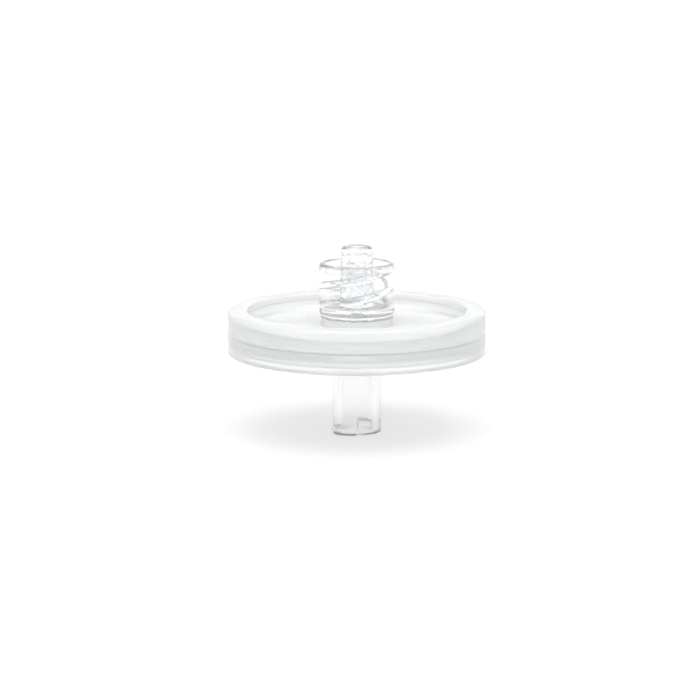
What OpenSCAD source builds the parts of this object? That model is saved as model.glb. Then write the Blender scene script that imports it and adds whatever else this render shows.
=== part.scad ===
// Disposable syringe filter with luer lock ends.
// It stands on the end of its inlet tube: the origin is the centre of that end, and +Z is the
// common axis, towards the outlet. Two clear housing halves clamp a membrane between their
// flanges, and an outer ring is moulded over the flanges. All sizes are in millimetres.

/* [Outer ring] */
// Outside diameter of the ring
ring_d = 33.2; // [30:0.1:40]
// Height of the ring
ring_h = 5.5; // [5.2:0.1:8]
// Width of the ring's rim, from its outer wall to its opening
rim_w = 2.6; // [2:0.1:3.5]
// Thickness of the ring outside the flanges
ring_wall = 1.2; // [0.6:0.05:1.4]
// Thickness of the lips that close over the flanges
lip_t = 0.8; // [0.5:0.05:1.1]
// Rounding of the ring's outer and inner edges
ring_round = 0.25; // [0.1:0.01:0.3]

/* [Housing halves] */
// Depth of the recess round the outlet hub
outlet_recess = 2.1; // [1.6:0.05:2.3]
// Thickness of the outlet half's plate
outlet_plate_t = 0.9; // [0.7:0.05:1.1]
// Thickness of the inlet half's plate
inlet_plate_t = 1.1; // [0.9:0.05:1.2]
// Radius of the coves where the plates turn up into the flanges
cove_r = 1.2; // [0.3:0.05:1.5]
// Width of the weld between the flanges, outside the membrane
weld_w = 1.1; // [0.6:0.05:1.4]
// Depth of the chamber under the membrane
inlet_gap = 0.35; // [0.2:0.05:0.45]
// Depth of the drain grooves above the membrane
drain_depth = 0.3; // [0.15:0.05:0.4]
// Width of each ring groove in the drain
groove_w = 0.8; // [0.4:0.05:1]
// Distance from one ring groove to the next
groove_pitch = 1.9; // [1.4:0.1:3]
// Number of straight drain channels and of ribs under the membrane
spoke_count = 8; // [4:2:16]
// Width of the drain channels and of the ribs under the membrane
spoke_w = 0.7; // [0.4:0.05:1]
// Distance from the ends of the ribs to the bore and to the chamber's wall
rib_end_gap = 1; // [0.5:0.1:2]

/* [Membrane] */
// Thickness of the membrane
membrane_t = 0.15; // [0.1:0.01:0.25]
// Width of the membrane's edge that the flanges clamp
clamp_w = 0.8; // [0.4:0.05:0.9]
// Clearance round the edge of the membrane
membrane_clear = 0.05; // [0.02:0.01:0.15]

/* [Outlet luer cone] */
// Diameter of the male cone at its tip
cone_tip_d = 3.96; // [3.93:0.01:3.99]
// Length of the cone that stands out of the collar
cone_reach = 2.1; // [1.6:0.05:3]
// Diameter of the fluid bore through the cone
outlet_bore_d = 1.9; // [1.2:0.05:2.2]
// Chamfer round the cone's tip
tip_chamfer = 0.24; // [0.1:0.02:0.3]

/* [Outlet collar] */
// Outside diameter of the collar
collar_d = 9.65; // [9.3:0.05:11]
// Height of the collar's mouth above the ring
collar_rise = 6.05; // [5.5:0.05:8]
// Distance of the collar's lower edge below the top of the ring
collar_drop = 0.75; // [0.3:0.05:1.2]
// Depth of the collar's cavity below its mouth
cavity_depth = 5.6; // [5:0.05:6]
// Diameter of the hub under the collar
hub_d = 9.3; // [8.4:0.05:9.3]
// Rounding of the collar's outer edges
collar_round = 0.42; // [0.1:0.02:0.44]

/* [Collar thread] */
// Diameter at the root of the thread
thread_root_d = 8.0; // [7.8:0.05:8.1]
// Diameter at the crest of the thread
thread_crest_d = 7.0; // [6.8:0.05:7.2]
// Lead of each of the two starts
thread_lead = 5; // [4.5:0.1:5.5]
// Height of a ridge at its root
ridge_root_w = 1.0; // [0.8:0.02:1.2]
// Height of a ridge at its crest
ridge_crest_w = 0.46; // [0.3:0.02:0.6]
// Turn of the ridges about the axis, in degrees
thread_turn = 131; // [0:1:180]
// Diameter of the plain mouth above the thread
mouth_d = 8.3; // [8.25:0.05:8.4]
// Depth of the plain mouth above the thread
mouth_depth = 1.1; // [0.6:0.05:1.5]

/* [Inlet luer tube] */
// Length of the tube below the ring
tube_l = 10.4; // [9.8:0.1:14]
// Outside diameter of the tube
tube_d = 6.3; // [6:0.05:6.7]
// Diameter of the socket at its mouth
socket_d = 4.29; // [4.27:0.01:4.315]
// Depth of the tapered socket
socket_depth = 9; // [7.5:0.1:9.6]
// Diameter of the fluid bore above the socket
inlet_bore_d = 2.4; // [1.4:0.05:3]
// Chamfer round the socket's mouth
mouth_chamfer = 0.12; // [0.05:0.01:0.2]
// Distance across the two lugs
lug_span = 7.8; // [7.3:0.05:7.83]
// Width of a lug
lug_w = 3.4; // [2.4:0.1:3.8]
// Height of a lug at the tube
lug_h = 1.35; // [1:0.05:1.6]
// Height of a lug at its outer face
lug_face_h = 0.9; // [0.5:0.05:1]
// Turn of the lugs about the axis, in degrees
lug_turn = 56; // [0:1:180]
// Fillet where the tube meets the plate
tube_fillet = 0.4; // [0.1:0.05:0.6]

/* [Hidden] */
$fn = 128;

// Luer fittings taper by 6 in 100 of diameter, which is 3 in 100 of radius.
luer_slope = 0.03;
// Solids that are fused or cut reach this far past the face that they meet.
past = 0.05;

// Radii
ring_r = ring_d / 2;
opening_r = ring_r - rim_w;
flange_r = ring_r - ring_wall;
seat_r = flange_r - weld_w;
chamber_r = seat_r - clamp_w;
hub_r = hub_d / 2;
collar_r = collar_d / 2;
root_r = thread_root_d / 2;
crest_r = thread_crest_d / 2;
tube_r = tube_d / 2;
socket_r = socket_d / 2;
tip_r = cone_tip_d / 2;
outlet_bore_r = outlet_bore_d / 2;
inlet_bore_r = inlet_bore_d / 2;

// Heights above the end of the tube
rim_z = tube_l + ring_h;
floor_z = rim_z - outlet_recess;
parting_z = floor_z - outlet_plate_t;
under_z = parting_z - inlet_plate_t;
upper_flange_z = rim_z - lip_t;
lower_flange_z = tube_l + lip_t;
seat_z = parting_z - membrane_t;
chamber_z = seat_z - inlet_gap;
collar_z = rim_z - collar_drop;
mouth_z = rim_z + collar_rise;
cavity_z = mouth_z - cavity_depth;
thread_top_z = mouth_z - mouth_depth;
tip_z = mouth_z + cone_reach;

// The ridges of the thread
thread_starts = 2;
steps_per_turn = 36;

// A square corner at the origin of a section, filled by a concave quarter circle of radius r.
// The corner's sides run along +X and +Y.
module cove(r) {
    difference() {
        translate([-past, -past]) square(r + past);
        translate([r, r]) circle(r);
    }
}

// A rectangle of a section from [x0, y0] to [x1, y1], with its corners rounded by r.
module rounded_box(x0, y0, x1, y1, r) {
    translate([x0 + r, y0]) square([x1 - x0 - 2 * r, y1 - y0]);
    translate([x0, y0 + r]) square([x1 - x0, y1 - y0 - 2 * r]);
    for (x = [x0 + r, x1 - r], y = [y0 + r, y1 - r]) {
        translate([x, y]) circle(r);
    }
}

// Section of the ring: a C that is open towards the axis, where the flanges lie.
module outer_ring() {
    color([0.90, 0.93, 0.94, 0.6])
    rotate_extrude() {
        difference() {
            rounded_box(opening_r, tube_l, ring_r, rim_z, ring_round);
            translate([0, lower_flange_z]) square([flange_r, upper_flange_z - lower_flange_z]);
        }
    }
}

// A plate from the axis to the edge of the flange, between two heights.
module plate_section(z0, z1) {
    translate([0, z0]) square([flange_r, z1 - z0]);
}

// The flange of a half between two heights, outside the ring's opening.
module flange_section(z0, z1) {
    translate([opening_r, z0]) square([flange_r - opening_r, z1 - z0]);
}

// Plate, flange, hub and collar of the outlet half, with the collar's cavity open.
module outlet_section() {
    upper_cove_r = min(cove_r, upper_flange_z - floor_z);
    plate_section(parting_z, floor_z);
    flange_section(floor_z - past, upper_flange_z);
    translate([opening_r, floor_z]) mirror([1, 0]) cove(upper_cove_r);
    translate([0, floor_z - past]) square([hub_r, collar_z - floor_z + 2 * past]);
    difference() {
        intersection() {
            rounded_box(-collar_r, collar_z, collar_r, mouth_z, collar_round);
            translate([0, collar_z]) square([collar_r, mouth_z - collar_z]);
        }
        translate([0, cavity_z]) square([root_r, mouth_z]);
    }
}

// Points of one ridge of the thread: a trapezoid that turns and climbs about the axis.
// The root side lies inside the collar's wall, and the lower end just under the cavity's floor.
function ridge_points(start_z, turns) = [
    for (i = [0 : ceil(turns * steps_per_turn)])
        let (a = i * 360 / steps_per_turn, z = start_z + i * thread_lead / steps_per_turn)
        for (corner = [
            [root_r + past, -ridge_root_w / 2],
            [crest_r, -ridge_crest_w / 2],
            [crest_r, ridge_crest_w / 2],
            [root_r + past, ridge_root_w / 2]
        ])
            [corner[0] * cos(a), corner[0] * sin(a), z + corner[1]]
];

// One ridge, from under the cavity's floor until all of it is above the top of the thread.
module ridge() {
    start_z = cavity_z - past - ridge_root_w / 2;
    end_z = thread_top_z + past + ridge_root_w / 2;
    points = ridge_points(start_z, (end_z - start_z) / thread_lead);
    rings = len(points) / 4;
    sides = [
        for (i = [0 : rings - 2], j = [0 : 3])
            let (k = (j + 1) % 4)
            for (face = [
                [4 * i + j, 4 * i + 4 + k, 4 * i + k],
                [4 * i + j, 4 * i + 4 + j, 4 * i + 4 + k]
            ])
                face
    ];
    last = 4 * (rings - 1);
    ends = [[0, 1, 2, 3], [last + 3, last + 2, last + 1, last]];
    polyhedron(points = points, faces = concat(sides, ends), convexity = 6);
}

// Male cone with a chamfered tip, from inside the web under the cavity.
module cone() {
    chamfer_z = tip_z - tip_chamfer;
    base_z = cavity_z - past;
    shoulder_r = tip_r + luer_slope * tip_chamfer;
    base_r = tip_r + luer_slope * (tip_z - base_z);
    rotate_extrude() {
        polygon([
            [0, base_z],
            [base_r, base_z],
            [shoulder_r, chamfer_z],
            [tip_r - tip_chamfer, tip_z],
            [0, tip_z]
        ]);
    }
}

// Grooves in the face of the outlet plate that lies on the membrane: rings and straight channels.
module drain() {
    groove_count = floor((chamber_r - groove_w / 2) / groove_pitch);
    rotate_extrude() {
        for (i = [1 : groove_count]) {
            translate([i * groove_pitch - groove_w / 2, parting_z - past])
                square([groove_w, drain_depth + past]);
        }
    }
    intersection() {
        translate([0, 0, parting_z - past]) cylinder(r = chamber_r, h = drain_depth + past);
        for (i = [0 : spoke_count / 2 - 1]) {
            rotate([0, 0, i * 360 / spoke_count])
                translate([-ring_r, -spoke_w / 2, parting_z - past])
                cube([ring_d, spoke_w, drain_depth + past]);
        }
    }
}

module outlet_housing() {
    color([0.94, 0.96, 0.97, 0.5])
    difference() {
        union() {
            difference() {
                union() {
                    rotate_extrude() outlet_section();
                    for (i = [0 : thread_starts - 1]) {
                        rotate([0, 0, thread_turn + i * 360 / thread_starts]) ridge();
                    }
                }
                translate([0, 0, thread_top_z])
                    cylinder(d = mouth_d, h = mouth_depth + 2 * ridge_root_w);
            }
            cone();
        }
        translate([0, 0, parting_z - past])
            cylinder(r = outlet_bore_r, h = tip_z - parting_z + 2 * past);
        drain();
    }
}

// Section of the inlet half: plate, flange and tube, with the seat and the chamber open.
module inlet_section() {
    lower_cove_r = min(cove_r, under_z - lower_flange_z);
    difference() {
        plate_section(under_z, parting_z);
        translate([0, seat_z]) square([seat_r, membrane_t + past]);
        translate([0, chamber_z]) square([chamber_r, parting_z]);
    }
    flange_section(lower_flange_z, under_z + past);
    translate([opening_r, under_z]) rotate(180) cove(lower_cove_r);
    square([tube_r, under_z + past]);
    translate([tube_r, under_z]) mirror([0, 1]) cove(tube_fillet);
}

// Tapered socket, its mouth's chamfer, and the bore up into the chamber.
module socket() {
    top_r = socket_r - luer_slope * socket_depth;
    rotate_extrude() {
        polygon([
            [0, -past],
            [socket_r + mouth_chamfer + past, -past],
            [socket_r - luer_slope * mouth_chamfer, mouth_chamfer],
            [top_r, socket_depth],
            [inlet_bore_r, socket_depth + (top_r - inlet_bore_r)],
            [inlet_bore_r, chamber_z + past],
            [0, chamber_z + past]
        ]);
    }
}

// The two lugs at the tube's end, with flanks that slope like the thread they engage.
module lugs() {
    intersection() {
        rotate_extrude() {
            polygon([
                [tube_r - past, 0],
                [lug_span / 2, 0],
                [lug_span / 2, lug_face_h],
                [tube_r - past, lug_h]
            ]);
        }
        rotate([0, 0, lug_turn])
            translate([-lug_span, -lug_w / 2, -past])
            cube([2 * lug_span, lug_w, lug_h + 2 * past]);
    }
}

// Ribs that hold the membrane off the chamber's floor and spread the flow.
module ribs() {
    intersection() {
        rotate_extrude() {
            translate([inlet_bore_r + rib_end_gap, chamber_z - past])
                square([chamber_r - inlet_bore_r - 2 * rib_end_gap, inlet_gap + past]);
        }
        for (i = [0 : spoke_count / 2 - 1]) {
            rotate([0, 0, (i + 0.5) * 360 / spoke_count])
                translate([-ring_r, -spoke_w / 2, chamber_z - 2 * past])
                cube([ring_d, spoke_w, inlet_gap + 3 * past]);
        }
    }
}

module inlet_housing() {
    color([0.94, 0.96, 0.97, 0.5]) {
        difference() {
            union() {
                rotate_extrude() inlet_section();
                lugs();
            }
            socket();
        }
        ribs();
    }
}

module membrane() {
    color([0.98, 0.98, 0.97])
    translate([0, 0, seat_z]) cylinder(r = seat_r - membrane_clear, h = membrane_t);
}

inlet_housing();
membrane();
outlet_housing();
outer_ring();
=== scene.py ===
import math

import bmesh
import bpy
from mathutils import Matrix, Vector


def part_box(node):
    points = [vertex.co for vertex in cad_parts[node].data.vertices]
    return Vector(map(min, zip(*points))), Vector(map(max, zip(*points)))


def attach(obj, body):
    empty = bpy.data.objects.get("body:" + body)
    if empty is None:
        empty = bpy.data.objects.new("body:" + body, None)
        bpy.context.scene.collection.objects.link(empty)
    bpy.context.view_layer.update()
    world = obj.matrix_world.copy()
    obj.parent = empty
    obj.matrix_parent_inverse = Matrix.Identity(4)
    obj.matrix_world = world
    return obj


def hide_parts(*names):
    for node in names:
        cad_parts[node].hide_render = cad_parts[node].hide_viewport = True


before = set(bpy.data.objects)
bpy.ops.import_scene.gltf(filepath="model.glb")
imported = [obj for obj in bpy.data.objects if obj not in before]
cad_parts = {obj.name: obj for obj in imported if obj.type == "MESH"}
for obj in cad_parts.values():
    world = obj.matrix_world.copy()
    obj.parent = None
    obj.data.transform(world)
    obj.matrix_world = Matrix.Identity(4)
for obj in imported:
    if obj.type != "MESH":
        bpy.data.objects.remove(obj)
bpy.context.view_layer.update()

MM = 0.001
COLUMNS = 288  # faces round a turned piece
MERGE_M = 1.5e-7  # vertices nearer than this, in metres, are one
SHARP_DEGREES = 32  # an edge that turns further than this stays sharp


# ---------------------------------------------------------------- sizes, from the CAD boxes
def node_box(name):
    lo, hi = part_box(name)
    return lo / MM, hi / MM


ring_lo, ring_hi = node_box("outer_ring")
outlet_lo, outlet_hi = node_box("outlet_housing")
film_lo, film_hi = node_box("membrane")

RING_R, TUBE_L, RIM_Z = ring_hi.x, ring_lo.z, ring_hi.z
FLANGE_R, PARTING_Z, TIP_Z = outlet_hi.x, outlet_lo.z, outlet_hi.z
FILM_R, FILM_Z0, FILM_Z1 = film_hi.x, film_lo.z, film_hi.z

# ---------------------------------------------------------------- sizes, as in the part's source
# The ring and both recesses
RIM_W, LIP_T, RING_ROUND = 2.6, 0.8, 0.25
OUTLET_RECESS, INLET_PLATE_T, COVE_R = 2.1, 1.1, 1.2
OPENING_R = RING_R - RIM_W
FLOOR_Z = RIM_Z - OUTLET_RECESS
UNDER_Z = PARTING_Z - INLET_PLATE_T
UPPER_FLANGE_Z = RIM_Z - LIP_T
LOWER_FLANGE_Z = TUBE_L + LIP_T

# The membrane's seat and chamber, the drain above it and the ribs below
WELD_W, CLAMP_W, INLET_GAP = 1.1, 0.8, 0.35
SEAT_R = FLANGE_R - WELD_W
CHAMBER_R = SEAT_R - CLAMP_W
CHAMBER_Z = FILM_Z0 - INLET_GAP
DRAIN_DEPTH, GROOVE_W, GROOVE_PITCH = 0.3, 0.8, 1.9
SPOKES, SPOKE_W = 8, 0.7
RIB_END_GAP = 1.0

# The outlet's cone, collar and thread
LUER_SLOPE = 0.03
CONE_TIP_R, TIP_CHAMFER, OUTLET_BORE_R = 1.98, 0.24, 0.95
COLLAR_R, COLLAR_ROUND, HUB_R = 4.825, 0.42, 4.65
COLLAR_DROP, COLLAR_RISE, CAVITY_DEPTH, MOUTH_DEPTH = 0.75, 6.05, 5.6, 1.1
COLLAR_Z = RIM_Z - COLLAR_DROP
MOUTH_Z = RIM_Z + COLLAR_RISE
CAVITY_Z = MOUTH_Z - CAVITY_DEPTH
THREAD_TOP_Z = MOUTH_Z - MOUTH_DEPTH
ROOT_R, CREST_R, MOUTH_R = 4.0, 3.5, 4.15
LEAD, STARTS, RIDGE_ROOT_W, RIDGE_CREST_W = 5.0, 2, 1.0, 0.46
THREAD_TURN = 131.0
PITCH = LEAD / STARTS

# The inlet's tube, socket and lugs
TUBE_R, SOCKET_R, SOCKET_DEPTH, INLET_BORE_R = 3.15, 2.145, 9.0, 1.2
MOUTH_CHAMFER, TUBE_FILLET = 0.12, 0.4
LUG_R, LUG_W, LUG_H, LUG_FACE_H, LUG_TURN = 3.9, 3.4, 1.35, 0.9, 56.0

PAST = 0.05  # how far a form goes past the surface that it grows from

# ---------------------------------------------------------------- sizes of the scene alone
# Radii of the rounded edges that the solids leave sharp
EDGE_ROUND, FOOT_ROUND, CUT_ROUND, FINE_ROUND = 0.1, 0.12, 0.06, 0.05
LUG_FOOT_ROUND, LUG_FACE_ROUND, FILM_ROUND = 0.15, 0.3, 0.03

LUG_END = 1.3  # length over which each end of a lug falls away to the tube
LUG_ROOT, RIB_ROOT = 0.3, 0.1  # how deep a lug and a rib stand in the wall that they join

NOTCH = 0.09  # the little groove round the parting line, under the ring
AIR = 0.015  # the film of air left round the membrane and between the halves
LIP_AIR = 0.02  # the same, between the ring's lips and the flanges
NEAR, CLOSE = 0.02, 0.01  # two distances that keep a face or an edge just off a surface
HAIR = 0.001  # keeps a rounding just short of the next corner, and finds a point again
AXIS_R = 0.00001  # near enough to the axis for the vertices there to merge
CUTTER_DROP = 1.0  # how far below the face that it cuts a cutter starts
FLANK_STEPS = 8  # rows on each flank of a ridge of the thread

LIP_LINE = 0.2  # the strip of the hub under the collar that is as clear as the collar
HUB_FOOT = 0.15  # the ring round the hub that is as milky as the hub
LUG_MILK = 0.1  # the strip of a lug's face that is as milky as the slope above it


# ---------------------------------------------------------------- mesh helpers
def arc(cr, cz, radius, a0, a1, steps):
    """Points of an arc about (cr, cz), from angle a0 to a1 in degrees."""
    out = []
    for i in range(steps + 1):
        a = math.radians(a0 + (a1 - a0) * i / steps)
        out.append((cr + radius * math.cos(a), cz + radius * math.sin(a)))
    return out


def soften(points, steps):
    """A closed outline of (r, z) or (r, z, radius): a corner with a radius is rounded by it."""
    out = []
    n = len(points)
    for i, p in enumerate(points):
        here = Vector(p[:2])
        if len(p) < 3:
            out.append(tuple(here))
            continue
        a = (Vector(points[i - 1][:2]) - here).normalized()
        b = (Vector(points[(i + 1) % n][:2]) - here).normalized()
        half = a.angle(b) / 2
        reach = p[2] / math.tan(half)
        centre = here + (a + b).normalized() * (p[2] / math.sin(half))
        start, end = here + a * reach - centre, here + b * reach - centre
        turn = start.angle_signed(end)
        for k in range(steps + 1):
            c, s = math.cos(-turn * k / steps), math.sin(-turn * k / steps)
            out.append((centre.x + start.x * c - start.y * s, centre.y + start.x * s + start.y * c))
    return out


def turned(x, y, degrees):
    """A point turned about the origin."""
    c, s = math.cos(math.radians(degrees)), math.sin(math.radians(degrees))
    return x * c - y * s, x * s + y * c


def merged_mesh(name, vertices, faces, marks=None):
    """A mesh in metres from vertices in millimetres, with coincident vertices merged."""
    mesh = bpy.data.meshes.new(name)
    mesh.from_pydata([(x * MM, y * MM, z * MM) for x, y, z in vertices], [], faces)
    if marks:
        mesh.polygons.foreach_set("material_index", marks)
    bm = bmesh.new()
    bm.from_mesh(mesh)
    bmesh.ops.remove_doubles(bm, verts=bm.verts, dist=MERGE_M)
    bmesh.ops.recalc_face_normals(bm, faces=bm.faces)
    bm.to_mesh(mesh)
    bm.free()
    return mesh


def revolve(name, rows, bonded=lambda r, z: False):
    """A closed outline turned about Z. A row is (r, z), or a function of the turn in degrees that
    gives (r, z). bonded says for a point of a face whether that face is a bond, which marks it."""
    n = len(rows)
    vertices, faces, marks = [], [], []
    for c in range(COLUMNS + 1):
        a = 360.0 * c / COLUMNS
        ca, sa = math.cos(math.radians(a)), math.sin(math.radians(a))
        for row in rows:
            r, z = row(a) if callable(row) else row
            vertices.append((r * ca, r * sa, z))
    for c in range(COLUMNS):
        for k in range(n):
            k2 = (k + 1) % n
            face = (c * n + k, c * n + k2, (c + 1) * n + k2, (c + 1) * n + k)
            middle = [sum(vertices[i][j] for i in face) / 4 for j in range(3)]
            faces.append(face)
            marks.append(int(bonded(math.hypot(middle[0], middle[1]), middle[2])))
    return merged_mesh(name, vertices, faces, marks)


def prism(name, outline, z0, z1):
    """A straight prism on an outline of (x, y)."""
    n = len(outline)
    vertices = [(x, y, z0) for x, y in outline] + [(x, y, z1) for x, y in outline]
    faces = [tuple(range(n - 1, -1, -1)), tuple(range(n, 2 * n))]
    faces += [(i, (i + 1) % n, n + (i + 1) % n, n + i) for i in range(n)]
    return merged_mesh(name, vertices, faces)


def thing(name, data):
    piece = bpy.data.objects.new(name, data)
    bpy.context.scene.collection.objects.link(piece)
    return piece


def boolean(piece, other, operation):
    """Cuts other from piece, or joins it, and drops other."""
    mod = piece.modifiers.new("boolean", "BOOLEAN")
    mod.operation, mod.object, mod.solver = operation, other, "EXACT"
    made = bpy.data.meshes.new_from_object(piece.evaluated_get(bpy.context.evaluated_depsgraph_get()))
    piece.modifiers.clear()
    old, piece.data = piece.data, made
    made.name = piece.name
    bpy.data.meshes.remove(old)
    bpy.data.objects.remove(other)


def finish_piece(piece, node, materials, choose):
    """Gives the faces their materials, shades smooth with sharp edges, and stands the piece for
    its node. choose gives the name of a face's material for its radius and height. A face that is
    marked as a bond gets the bond's material."""
    bonded = [bool(face.material_index) for face in piece.data.polygons]
    names = materials + [BOND] if any(bonded) else materials
    piece.data.materials.clear()
    for name in names:
        piece.data.materials.append(bpy.data.materials[name])
    for face, is_bond in zip(piece.data.polygons, bonded):
        middle = face.center / MM
        name = BOND if is_bond else choose(middle.xy.length, middle.z)
        face.material_index = names.index(name)
    piece.data.polygons.foreach_set("use_smooth", [True] * len(piece.data.polygons))
    piece.data.set_sharp_from_angle(angle=math.radians(SHARP_DEGREES))
    weighted = piece.modifiers.new("weighted_normal", "WEIGHTED_NORMAL")
    weighted.keep_sharp = True
    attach(piece, "root")
    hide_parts(node)


# ---------------------------------------------------------------- materials
MIX_LOW, MIX_HIGH, MIX_RESULT = 6, 7, 2  # the colour sockets of a Mix node
BOND = "bond_in_clear_plastic"

# Name: tint, share of light let through, roughness and its spread, strength of the flow marks
PLASTICS = {
    "clear_ring_plastic": ((0.95, 0.96, 0.97), 0.55, 0.13, 0.03, 0.02),
    "clear_plate_plastic": ((0.945, 0.951, 0.956), 0.5, 0.15, 0.05, 0.1),
    "clear_drain_plastic": ((0.985, 0.987, 0.99), 0.4, 0.3, 0.05, 0.1),
    "clear_hub_plastic": ((0.945, 0.951, 0.955), 0.35, 0.1, 0.03, 0.08),
    "clear_luer_plastic": ((0.986, 0.992, 0.995), 1.0, 0.0, 0.015, 0.0),
    "clear_tube_plastic": ((0.994, 0.997, 0.999), 0.94, 0.14, 0.02, 0.08),
    "clear_lug_plastic": ((0.994, 0.997, 0.999), 0.35, 0.3, 0.03, 0.08),
    # The parting line's near-black tint is painted shade: it stands in for the dark line that bent
    # light draws at the groove. The groove itself is modelled.
    "parting_line_painted_shade": ((0.02, 0.02, 0.021), 0.2, 0.2, 0.05, 0.1),
}
PLASTIC_IOR = 1.5
HAZE_SCALE, FLOW_SCALE = 420.0, 160.0
HAZE_FROM, HAZE_TO = 0.3, 0.7  # the noise's values where the roughness is least and most
FLOW_DEPTH = 0.00002
FLOW_LIGHTER = 1.006  # how much lighter the tint is along the flow marks

FILM_LOW, FILM_HIGH = (0.72, 0.72, 0.715), (0.76, 0.76, 0.757)
FILM_GRAIN_SCALE, FILM_GRAIN_DEPTH, FILM_GRAIN_STRENGTH = 2600.0, 0.00003, 0.3
FILM_ROUGH, FILM_IOR = 0.9, 1.2


def node_maker(owner):
    """The node tree of a material or world, empty, and a function that adds a node to it. Its
    settings are given by name, and so are its sockets, with _ for each space."""
    owner.use_nodes = True
    tree = owner.node_tree
    tree.nodes.clear()

    def make(kind, **values):
        node = tree.nodes.new(kind)
        for key, value in values.items():
            if key in node.bl_rna.properties and not key[0].isupper():
                setattr(node, key, value)
            else:
                node.inputs[key.replace("_", " ")].default_value = value
        return node

    return tree, make


def new_material(name):
    """A material with its Principled shader: its tree, a function for nodes, and the shader."""
    tree, make = node_maker(bpy.data.materials.new(name))
    shader = make("ShaderNodeBsdfPrincipled")
    tree.links.new(shader.outputs["BSDF"], make("ShaderNodeOutputMaterial").inputs["Surface"])
    return tree, make, shader


def noise(tree, make, **values):
    """A noise on the object's own coordinates. Gives its value's socket."""
    made = make("ShaderNodeTexNoise", **values)
    tree.links.new(make("ShaderNodeTexCoord").outputs["Object"], made.inputs["Vector"])
    return made.outputs["Fac"]


def bump(tree, make, shader, height, strength, depth):
    made = make("ShaderNodeBump", Strength=strength, Distance=depth)
    tree.links.new(height, made.inputs["Height"])
    tree.links.new(made.outputs["Normal"], shader.inputs["Normal"])


def blend_colour(tree, make, shader, factor, low, high):
    """Gives the shader a base colour between two, by a factor from a node."""
    mix = make("ShaderNodeMix", data_type="RGBA")
    mix.inputs[MIX_LOW].default_value, mix.inputs[MIX_HIGH].default_value = (*low, 1), (*high, 1)
    tree.links.new(factor, mix.inputs["Factor"])
    tree.links.new(mix.outputs[MIX_RESULT], shader.inputs["Base Color"])


def clear_plastic(name, tint, clarity, rough, rough_spread, flow_strength):
    """Clear plastic: faint flow marks from moulding, fine haze that varies, slight tint."""
    tree, make, shader = new_material(name)
    shader.inputs["Transmission Weight"].default_value = clarity
    shader.inputs["IOR"].default_value = PLASTIC_IOR
    haze = noise(tree, make, Scale=HAZE_SCALE, Detail=5.0, Roughness=0.6)
    flow = noise(tree, make, Scale=FLOW_SCALE, Detail=2.0, Roughness=0.4)
    haze_range = make("ShaderNodeMapRange", From_Min=HAZE_FROM, From_Max=HAZE_TO,
                      To_Min=max(0.0, rough - rough_spread), To_Max=rough + rough_spread)
    tree.links.new(haze, haze_range.inputs["Value"])
    tree.links.new(haze_range.outputs["Result"], shader.inputs["Roughness"])
    bump(tree, make, shader, flow, flow_strength, FLOW_DEPTH)
    blend_colour(tree, make, shader, flow, tint, [min(1.0, c * FLOW_LIGHTER) for c in tint])


def bond_material(name):
    """Where two pieces are one clear body: light passes as if there were no face."""
    shader = new_material(name)[2]
    shader.inputs["Alpha"].default_value = 0.0
    shader.inputs["Transmission Weight"].default_value = 1.0
    shader.inputs["IOR"].default_value = PLASTIC_IOR


def membrane_material(name):
    """Matt white porous film: fine fibrous grain."""
    tree, make, shader = new_material(name)
    shader.inputs["Roughness"].default_value = FILM_ROUGH
    shader.inputs["IOR"].default_value = FILM_IOR
    grain = noise(tree, make, Scale=FILM_GRAIN_SCALE, Detail=6.0, Roughness=0.7)
    bump(tree, make, shader, grain, FILM_GRAIN_STRENGTH, FILM_GRAIN_DEPTH)
    blend_colour(tree, make, shader, grain, FILM_LOW, FILM_HIGH)


for plastic, look in PLASTICS.items():
    clear_plastic(plastic, *look)
bond_material(BOND)
membrane_material("membrane_film")


# ---------------------------------------------------------------- outer ring
def ring_bond(r, z):
    """The inside of the ring's wall, but for the groove round the parting line."""
    return (abs(r - FLANGE_R) < NEAR and LOWER_FLANGE_Z < z < UPPER_FLANGE_Z
            and abs(z - PARTING_Z) > NOTCH)


def ring_material(r, z):
    # The groove's faces on the ring's inner wall get the parting line's near-black painted shade.
    return "parting_line_painted_shade" if abs(r - FLANGE_R) < NEAR else "clear_ring_plastic"


ring_rows = soften([
    (OPENING_R, LOWER_FLANGE_Z),
    (OPENING_R, TUBE_L, RING_ROUND),
    (RING_R, TUBE_L, RING_ROUND),
    (RING_R, RIM_Z, RING_ROUND),
    (OPENING_R, RIM_Z, RING_ROUND),
    (OPENING_R, UPPER_FLANGE_Z),
    (FLANGE_R, UPPER_FLANGE_Z),
    (FLANGE_R, PARTING_Z + NOTCH),
    (FLANGE_R, PARTING_Z - NOTCH),
    (FLANGE_R, LOWER_FLANGE_Z),
], 6)
ring = thing("ring_clear", revolve("ring_clear", ring_rows, ring_bond))
finish_piece(ring, "outer_ring", ["clear_ring_plastic", "parting_line_painted_shade"],
             ring_material)


# ---------------------------------------------------------------- both housings
def flange_bond(r, z):
    """The outside of a flange, where the ring is moulded on."""
    return r > FLANGE_R - CLOSE


def in_painted_seam(r, z):
    """Whether a face is in the groove round the parting line, which is coloured with near-black
    painted shade.
    """
    return r > FLANGE_R - NOTCH and abs(z - PARTING_Z) < NOTCH


# ---------------------------------------------------------------- outlet housing
def ridge_height(offset):
    """How far a ridge stands out of the thread's root, at an offset along Z from its middle."""
    flank = (RIDGE_ROOT_W - RIDGE_CREST_W) / 2
    share = min(1.0, max(0.0, (RIDGE_ROOT_W / 2 - abs(offset)) / flank))
    return (ROOT_R - CREST_R) * share * share * (3 - 2 * share)


def helix_z(turn):
    """Height of the middle of a ridge at a turn, in degrees from the +X axis."""
    start = CAVITY_Z - PAST - RIDGE_ROOT_W / 2
    return start + (turn - THREAD_TURN) / 360 * LEAD


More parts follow.
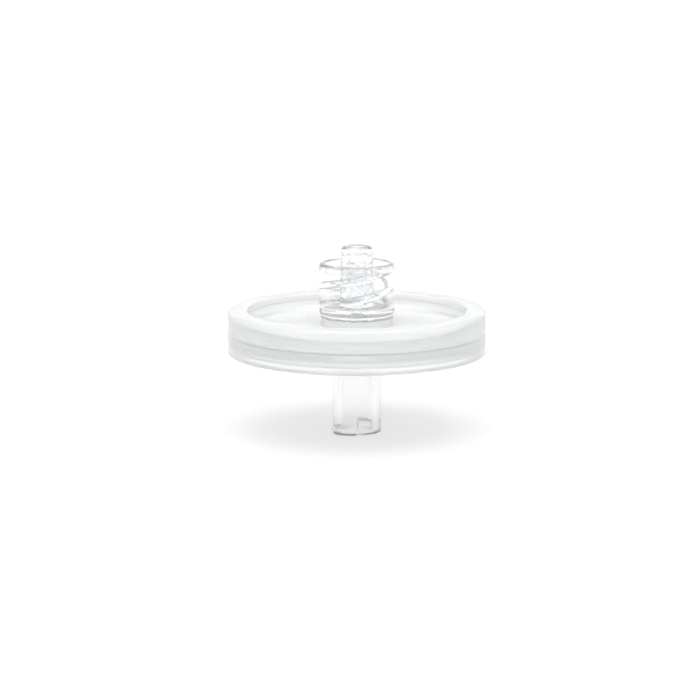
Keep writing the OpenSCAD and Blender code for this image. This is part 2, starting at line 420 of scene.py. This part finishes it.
def wall_row(offset):
    """A row of the cavity's wall that follows the thread, held between its floor and its top."""
    def row(turn):
        z = min(THREAD_TOP_Z, max(CAVITY_Z, helix_z(turn) + offset))
        middle = (z - helix_z(turn) + PITCH / 2) % PITCH - PITCH / 2
        return ROOT_R - ridge_height(middle), z
    return row


def thread_rows():
    """Rows from the thread's top down to the cavity's floor."""
    flank_lo, flank_hi = RIDGE_CREST_W / 2, RIDGE_ROOT_W / 2
    side = [flank_lo + (flank_hi - flank_lo) * i / FLANK_STEPS for i in range(FLANK_STEPS + 1)]
    steps = [-s for s in reversed(side)] + [0.0] + side + [PITCH / 2]
    low = CAVITY_Z - helix_z(360.0)
    high = THREAD_TOP_Z - helix_z(0.0)
    offsets = []
    for i in range(math.floor(low / PITCH) - 1, math.ceil(high / PITCH) + 2):
        offsets += [i * PITCH + s for s in steps]
    return [wall_row(o) for o in sorted(offsets, reverse=True)]


def drain_outline():
    """The outlet plate's lower face from the bore out: the ring grooves of the drain."""
    out = []
    top = PARTING_Z + DRAIN_DEPTH
    for i in range(1, math.floor((CHAMBER_R - GROOVE_W / 2) / GROOVE_PITCH) + 1):
        r0, r1 = i * GROOVE_PITCH - GROOVE_W / 2, i * GROOVE_PITCH + GROOVE_W / 2
        out += [(r0, PARTING_Z, CUT_ROUND), (r0, top, CUT_ROUND),
                (r1, top, CUT_ROUND), (r1, PARTING_Z, CUT_ROUND)]
    return out


def star(arms, width, reach):
    """Outline of a star of straight arms of one width."""
    corner = width / 2 / math.sin(math.pi / arms)
    out = []
    for i in range(arms):
        turn = 360 * i / arms
        out += [turned(reach, -width / 2, turn), turned(reach, width / 2, turn),
                turned(corner, 0, turn + 180 / arms)]
    return out


def outlet_material(r, z):
    if z > COLLAR_Z - LIP_LINE:
        return "clear_luer_plastic"
    # The groove round the parting line gets its near-black painted shade.
    if in_painted_seam(r, z):
        return "parting_line_painted_shade"
    if z < PARTING_Z + DRAIN_DEPTH + CLOSE and r < SEAT_R:
        return "clear_drain_plastic"
    if r < HUB_R + HUB_FOOT and z > FLOOR_Z:
        return "clear_hub_plastic"
    return "clear_plate_plastic"


arc_r = COLLAR_R - COLLAR_ROUND
arc_turn = math.degrees(math.acos((HUB_R - arc_r) / COLLAR_ROUND))
cone_base_r = CONE_TIP_R + LUER_SLOPE * (TIP_Z - CAVITY_Z)
cone_shoulder_r = CONE_TIP_R + LUER_SLOPE * TIP_CHAMFER
outlet_outline = soften(
    [(OUTLET_BORE_R, PARTING_Z, FINE_ROUND)]
    + drain_outline()
    + [
        (SEAT_R, PARTING_Z + AIR),
        (FLANGE_R - NOTCH, PARTING_Z + AIR),
        (FLANGE_R, PARTING_Z + NOTCH),
        (FLANGE_R, UPPER_FLANGE_Z - LIP_AIR),
        (OPENING_R, UPPER_FLANGE_Z - LIP_AIR),
        (OPENING_R, FLOOR_Z, COVE_R),
        (HUB_R, FLOOR_Z, FOOT_ROUND),
        (HUB_R, COLLAR_Z - LIP_LINE),
    ]
    + arc(arc_r, COLLAR_Z + COLLAR_ROUND, COLLAR_ROUND, -arc_turn, 0, 6)
    + [
        (COLLAR_R, MOUTH_Z, COLLAR_ROUND),
        (MOUTH_R, MOUTH_Z, EDGE_ROUND),
        (MOUTH_R, THREAD_TOP_Z, FINE_ROUND),
        (ROOT_R, THREAD_TOP_Z),
        (ROOT_R, CAVITY_Z),
        (cone_base_r, CAVITY_Z, EDGE_ROUND),
        (cone_shoulder_r, TIP_Z - TIP_CHAMFER, EDGE_ROUND),
        (CONE_TIP_R - TIP_CHAMFER, TIP_Z, CUT_ROUND),
        (OUTLET_BORE_R, TIP_Z, CUT_ROUND),
    ],
    5,
)
# The thread's rows take the place of the plain wall between the two points at its root.
root = next(i for i, p in enumerate(outlet_outline)
            if math.dist(p, (ROOT_R, THREAD_TOP_Z)) < HAIR)
outlet_rows = outlet_outline[:root] + thread_rows() + outlet_outline[root + 2:]

outlet = thing("outlet_clear", revolve("outlet_clear", outlet_rows, flange_bond))
channels = prism("channels", star(SPOKES, SPOKE_W, CHAMBER_R - NEAR),
                 PARTING_Z - CUTTER_DROP, PARTING_Z + DRAIN_DEPTH - CLOSE)
boolean(outlet, thing("channels", channels), "DIFFERENCE")
finish_piece(outlet, "outlet_housing",
             ["clear_plate_plastic", "clear_hub_plastic", "clear_luer_plastic",
              "parting_line_painted_shade", "clear_drain_plastic"], outlet_material)


# ---------------------------------------------------------------- inlet housing
def lug(turn):
    """One lug, as sections across its width; its ends round off into the tube."""
    steps, inner = 32, TUBE_R - NEAR
    outline = soften([(TUBE_R - LUG_ROOT, 0.0), (LUG_R, 0.0, LUG_FOOT_ROUND),
                      (LUG_R, LUG_FACE_H, LUG_FACE_ROUND), (TUBE_R - PAST, LUG_H),
                      (TUBE_R - LUG_ROOT, LUG_H)], 6)
    sections = []
    for i in range(steps + 1):
        v = -LUG_W / 2 * math.cos(math.pi * i / steps)
        past = max(0.0, (abs(v) - LUG_W / 2) / LUG_END + 1)
        height = math.sqrt(max(0.0, 1 - past * past))
        section = [(r if r < inner else inner + (r - inner) * height, z) for r, z in outline]
        sections.append([(math.sqrt(r * r - v * v), v, z) for r, z in section])
    n = len(outline)
    vertices = [(*turned(x, y, turn), z) for section in sections for x, y, z in section]
    faces = [tuple(range(n)), tuple(range(steps * n + n - 1, steps * n - 1, -1))]
    for i in range(steps):
        faces += [(i * n + k, i * n + (k + 1) % n, (i + 1) * n + (k + 1) % n, (i + 1) * n + k)
                  for k in range(n)]
    return merged_mesh("lug", vertices, faces)


def rib(turn):
    """One rib under the membrane."""
    r0, r1, half = INLET_BORE_R + RIB_END_GAP, CHAMBER_R - RIB_END_GAP, SPOKE_W / 2
    corners = [(r0, -half), (r1, -half), (r1, half), (r0, half)]
    outline = [turned(x, y, turn) for x, y in corners]
    return prism("rib", outline, CHAMBER_Z - RIB_ROOT, FILM_Z0 - AIR)


def inlet_material(r, z):
    # The groove round the parting line gets its near-black painted shade.
    if in_painted_seam(r, z):
        return "parting_line_painted_shade"
    if z > UNDER_Z - TUBE_FILLET:
        return "clear_plate_plastic"
    if r > TUBE_R + NEAR and z > LUG_FACE_H - LUG_MILK:
        return "clear_lug_plastic"
    return "clear_tube_plastic"


socket_top_r = SOCKET_R - LUER_SLOPE * SOCKET_DEPTH
inlet_rows = soften([
    (SOCKET_R + MOUTH_CHAMFER, 0),
    (TUBE_R, 0, FOOT_ROUND),
    (TUBE_R, UNDER_Z, TUBE_FILLET),
    (OPENING_R, UNDER_Z, UNDER_Z - LOWER_FLANGE_Z - HAIR),
    (OPENING_R, LOWER_FLANGE_Z + LIP_AIR),
    (FLANGE_R, LOWER_FLANGE_Z + LIP_AIR),
    (FLANGE_R, PARTING_Z - NOTCH),
    (FLANGE_R - NOTCH, PARTING_Z),
    (SEAT_R, PARTING_Z),
    (SEAT_R, FILM_Z0),
    (CHAMBER_R, FILM_Z0, FINE_ROUND),
    (CHAMBER_R, CHAMBER_Z, EDGE_ROUND),
    (INLET_BORE_R, CHAMBER_Z, EDGE_ROUND),
    (INLET_BORE_R, SOCKET_DEPTH + socket_top_r - INLET_BORE_R, EDGE_ROUND),
    (socket_top_r, SOCKET_DEPTH, EDGE_ROUND),
    (SOCKET_R - LUER_SLOPE * MOUTH_CHAMFER, MOUTH_CHAMFER),
], 5)
inlet = thing("inlet_clear", revolve("inlet_clear", inlet_rows, flange_bond))
for i in range(2):
    boolean(inlet, thing("lug", lug(LUG_TURN + 180 * i)), "UNION")
for i in range(SPOKES):
    boolean(inlet, thing("rib", rib((i + 0.5) * 360 / SPOKES)), "UNION")
finish_piece(inlet, "inlet_housing",
             ["clear_plate_plastic", "clear_tube_plastic", "clear_lug_plastic",
              "parting_line_painted_shade"], inlet_material)

# ---------------------------------------------------------------- membrane
film_rows = soften([
    (AXIS_R, FILM_Z0 + AIR),
    (FILM_R, FILM_Z0 + AIR, FILM_ROUND),
    (FILM_R, FILM_Z1 - AIR, FILM_ROUND),
    (AXIS_R, FILM_Z1 - AIR),
], 3)
membrane = thing("membrane_sheet", revolve("membrane_sheet", film_rows))
finish_piece(membrane, "membrane", ["membrane_film"], lambda r, z: "membrane_film")

# ---------------------------------------------------------------- floor
FLOOR_HALF, FLOOR_DROP = 6, 0.00003  # in metres
FLOOR_TONE, FLOOR_SPREAD, FLOOR_GLOW, FLOOR_ROUGH = 0.26, 0.02, 0.63, 0.9
FLOOR_GRAIN_SCALE = 900.0

floor_mesh = bpy.data.meshes.new("floor")
floor_mesh.from_pydata([(-FLOOR_HALF, -FLOOR_HALF, 0), (FLOOR_HALF, -FLOOR_HALF, 0),
                        (FLOOR_HALF, FLOOR_HALF, 0), (-FLOOR_HALF, FLOOR_HALF, 0)],
                       [], [(0, 1, 2, 3)])
floor = thing("floor", floor_mesh)
floor.location.z = -FLOOR_DROP
tree, make, shader = new_material("floor_paper")
shader.inputs["Roughness"].default_value = FLOOR_ROUGH
shader.inputs["Emission Strength"].default_value = FLOOR_GLOW
shader.inputs["Emission Color"].default_value = (1, 1, 1, 1)
blend_colour(tree, make, shader, noise(tree, make, Scale=FLOOR_GRAIN_SCALE, Detail=3.0),
             [FLOOR_TONE] * 3, [FLOOR_TONE + FLOOR_SPREAD] * 3)
floor.data.materials.append(bpy.data.materials["floor_paper"])

# ---------------------------------------------------------------- light
# A pale tent all round: (height of the direction, from 0 level to 1 overhead; brightness). The
# darker band half way up draws the thin dark lines on the ridges and lips.
TENT = ((0.0, 1.0), (0.3, 1.0), (0.45, 0.4), (0.7, 0.4), (0.8, 1.5), (1.0, 1.0))

world = bpy.data.worlds.new("studio")
bpy.context.scene.world = world
tree, make = node_maker(world)
split = make("ShaderNodeSeparateXYZ")
ramp = make("ShaderNodeValToRGB")
sky = make("ShaderNodeBackground")
tree.links.new(make("ShaderNodeTexCoord").outputs["Generated"], split.inputs["Vector"])
tree.links.new(split.outputs["Z"], ramp.inputs["Fac"])
tree.links.new(ramp.outputs["Color"], sky.inputs["Color"])
tree.links.new(sky.outputs["Background"], make("ShaderNodeOutputWorld").inputs["Surface"])
# A new element moves the ones after it, so all are made before any is set.
for height, level in TENT[1:-1]:
    ramp.color_ramp.elements.new(height)
for element, (height, level) in zip(ramp.color_ramp.elements, TENT):
    element.position, element.color = height, (level, level, level, 1)


def soft_sun(name, level, spread, tilt, seen):
    """A wide soft light. tilt is in degrees from overhead towards the back or, below 0, the front,
    and seen says whether it shows in reflections and through the clear pieces."""
    data = bpy.data.lights.new(name, "SUN")
    data.energy, data.angle = level, math.radians(spread)
    light = thing(name, data)
    light.rotation_euler = (-math.radians(tilt), 0, 0)
    light.visible_glossy = light.visible_transmission = seen


soft_sun("key_light", 2.1, 60, -12, True)
soft_sun("fill_light", 0.5, 60, -60, False)

# ---------------------------------------------------------------- camera
# Fitted to the circles that the photograph shows. The middle of the rim's plane, at DISTANCE
# metres, lies RIGHT_PX and UP_PX from the middle of the image.
ELEVATION, DISTANCE, FOCAL_PX = math.radians(9.62), 0.3018, 2355.5
RIGHT_PX, UP_PX = 6.84, 40.84
IMAGE_PX, SENSOR_MM = 700, 36

aim = Vector((0, 0, RIM_Z * MM))
forward = Vector((0, math.cos(ELEVATION), -math.sin(ELEVATION)))
up = Vector((0, math.sin(ELEVATION), math.cos(ELEVATION)))
eye = aim - forward * DISTANCE
target = aim + (Vector((-RIGHT_PX, 0, 0)) - up * UP_PX) * DISTANCE / FOCAL_PX
camera_data = bpy.data.cameras.new("camera")
camera_data.sensor_width = SENSOR_MM
camera_data.lens = FOCAL_PX / IMAGE_PX * SENSOR_MM
camera_data.clip_start, camera_data.clip_end = 0.01, 20
camera = thing("camera", camera_data)
camera.location = eye
camera.rotation_mode = "QUATERNION"
camera.rotation_quaternion = (target - eye).to_track_quat("-Z", "Y")
bpy.context.scene.camera = camera

# ---------------------------------------------------------------- bounces through clear pieces
BOUNCES, TRANSPARENT_BOUNCES = 48, 256

scene = bpy.context.scene
scene.view_settings.view_transform = "Standard"
scene.cycles.max_bounces = BOUNCES
scene.cycles.transmission_bounces = BOUNCES
scene.cycles.glossy_bounces = BOUNCES
scene.cycles.diffuse_bounces = BOUNCES
scene.cycles.transparent_max_bounces = TRANSPARENT_BOUNCES
